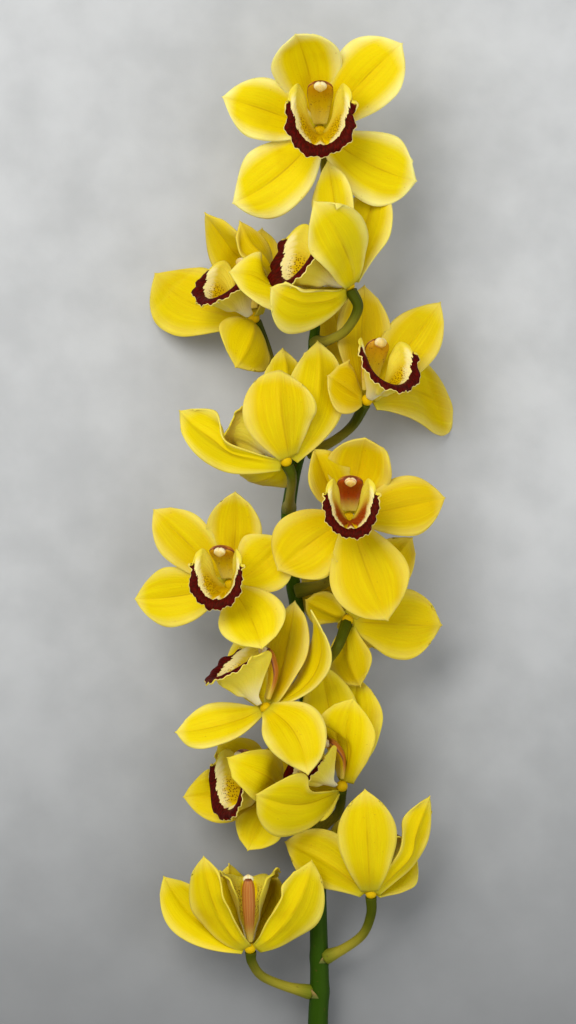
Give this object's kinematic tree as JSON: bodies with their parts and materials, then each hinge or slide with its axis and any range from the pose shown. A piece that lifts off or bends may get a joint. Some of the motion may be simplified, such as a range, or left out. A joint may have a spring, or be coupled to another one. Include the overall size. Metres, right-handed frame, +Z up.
{
  "type": "cut flower stem",
  "caption": "Cut orchid flower spike lying down: a green stem whose curved stalks carry open yellow blooms with dark red lips.",
  "frame": {"origin": "centre of the stem's outline seen from above, on the surface that it lies on", "axes": "+Y along the stem from its cut end to the tip of the spike, +Z up from the surface, towards the faces of the blooms, +X to the right seen from above with the tip away"},
  "size_m": [0.1606, 0.5988, 0.0988],
  "materials": {
    "tepals": "satin",
    "lip": "satin",
    "column": "satin",
    "stem": "satin"
  },
  "bodies": {
    "root": {"stem": "stem", "bloom_01_tepals": "tepals", "bloom_01_lip": "lip", "bloom_01_column": "column", "bloom_02_tepals": "tepals", "bloom_02_lip": "lip", "bloom_02_column": "column", "bloom_03_tepals": "tepals", "bloom_03_lip": "lip", "bloom_03_column": "column", "bloom_04_tepals": "tepals", "bloom_04_lip": "lip", "bloom_04_column": "column", "bloom_05_tepals": "tepals", "bloom_05_lip": "lip", "bloom_05_column": "column", "bloom_06_tepals": "tepals", "bloom_06_lip": "lip", "bloom_06_column": "column", "bloom_07_tepals": "tepals", "bloom_07_lip": "lip", "bloom_07_column": "column", "bloom_08_tepals": "tepals", "bloom_08_lip": "lip", "bloom_08_column": "column", "bloom_09_tepals": "tepals", "bloom_09_lip": "lip", "bloom_09_column": "column", "bloom_10_tepals": "tepals", "bloom_10_lip": "lip", "bloom_10_column": "column", "bloom_11_tepals": "tepals", "bloom_11_lip": "lip", "bloom_11_column": "column", "bloom_12_tepals": "tepals", "bloom_12_lip": "lip", "bloom_12_column": "column", "bloom_13_tepals": "tepals", "bloom_13_lip": "lip", "bloom_13_column": "column"}
  },
  "joints": []
}
